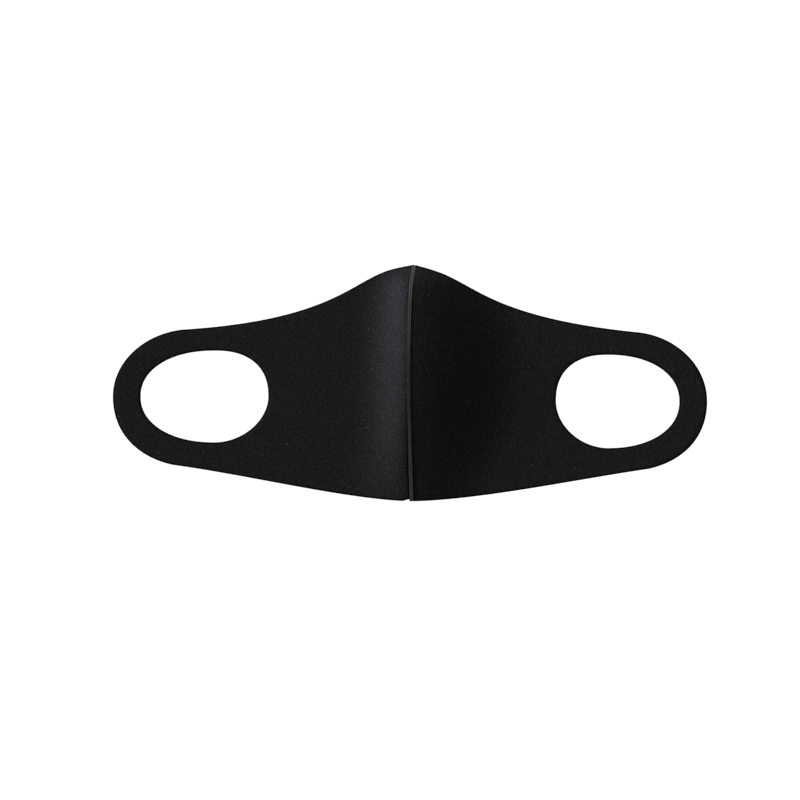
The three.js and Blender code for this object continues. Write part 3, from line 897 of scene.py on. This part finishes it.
# %% White table
speckle_spacing = millimetre / 0.3
white_table, tree, shader = new_material(
    "Matt white laminate", roughness=0.8, ior=1.5, specular_level=0.1)
place = add_node(tree, "ShaderNodeTexCoord")
speckle = add_node(tree, "ShaderNodeTexNoise", None,
                   {"Vector": place.outputs["Object"], "Scale": 1 / speckle_spacing, "Detail": 2})
tone = add_node(tree, "ShaderNodeMix", {"data_type": "RGBA"},
                {0: speckle, 6: hex_colour("f0f0f0"), 7: hex_colour("f6f6f6")})
tree.links.new(tone.outputs[2], shader.inputs["Base Color"])
table_half = 8
table_drop = 0.02 * millimetre
table_mesh = bpy.data.meshes.new("table")
ways = [(-1, -1), (1, -1), (1, 1), (-1, 1)]
corners = [(x * table_half, y * table_half, -table_drop) for x, y in ways]
table_mesh.from_pydata(corners, [], [(0, 1, 2, 3)])
table_mesh.materials.append(white_table)
table = bpy.data.objects.new("table", table_mesh)
bpy.context.scene.collection.objects.link(table)
print("The table is", 2 * table_half, "m wide")

# %% [markdown]
# ## Light
#
# The picture is lit by one large soft light, low on the left and a little behind, so the left flank
# shines, the right flank lies in its own shade and the flat cloth is in between. A weak light from the
# right and a dim surround keep the shade open. The picture's ground is pure white and without a shadow,
# which black cloth and a white table don't give in one exposure, so the table has a light of its own from
# straight above, as a studio lights its backdrop by itself, and light linking keeps the low light to the
# mask. Suns are used for all three, because their light is the same everywhere.

# %% Sun lamps
def sun(name, toward, strength, spread):
    """A sun whose light comes from this direction, as wide in the sky as spread, in degrees."""
    data = bpy.data.lights.new(name, "SUN")
    data.energy = strength
    data.angle = math.radians(spread)
    lamp = bpy.data.objects.new(name, data)
    lamp.rotation_euler = Vector(toward).to_track_quat("Z", "Y").to_euler()
    bpy.context.scene.collection.objects.link(lamp)
    return lamp


key_light = sun("key_light", toward=(-0.88, 0.40, 0.22), strength=8.8, spread=20)
sun("fill_light", toward=(0.75, -0.35, 0.60), strength=0.12, spread=60)
table_light = sun("table_light", toward=(0, 0, 1), strength=3.1, spread=12)
for lamp, lit in ((key_light, [*cloth.values(), seam_fin]), (table_light, [table])):
    group = bpy.data.collections.new(lamp.name + "_lights")
    for piece in lit:
        group.objects.link(piece)
    lamp.light_linking.receiver_collection = group
surround_strength = 0.29
world = bpy.data.worlds.new("surround")
world.use_nodes = True
surround = world.node_tree.nodes["Background"]
surround.inputs["Color"].default_value = hex_colour("ffffff")
surround.inputs["Strength"].default_value = surround_strength
bpy.context.scene.world = world
bpy.context.scene.view_settings.view_transform = "Standard"

# %% [markdown]
# ## Camera
#
# The picture is taken from straight above, and its edges show no perspective, so the camera is far away
# with a long lens. One pixel is 0.505 mm on the table, and the mask's middle lies 10 pixels right of the
# picture's middle and 16.8 above it, which moves the camera the other way.

# %% Camera straight above
pixel = 0.505 * millimetre
picture_pixels = 800
mask_right = 10
mask_up = 16.8
camera_height = 1.8
camera_data = bpy.data.cameras.new("camera")
camera_data.sensor_width = 36
camera_data.lens = camera_data.sensor_width * camera_height / (picture_pixels * pixel)
camera = bpy.data.objects.new("camera", camera_data)
camera.location = (-mask_right * pixel, -mask_up * pixel, camera_height)
bpy.context.scene.collection.objects.link(camera)
bpy.context.scene.camera = camera
print(f"Lens {camera_data.lens:.1f} mm, {camera_height} m above the table")
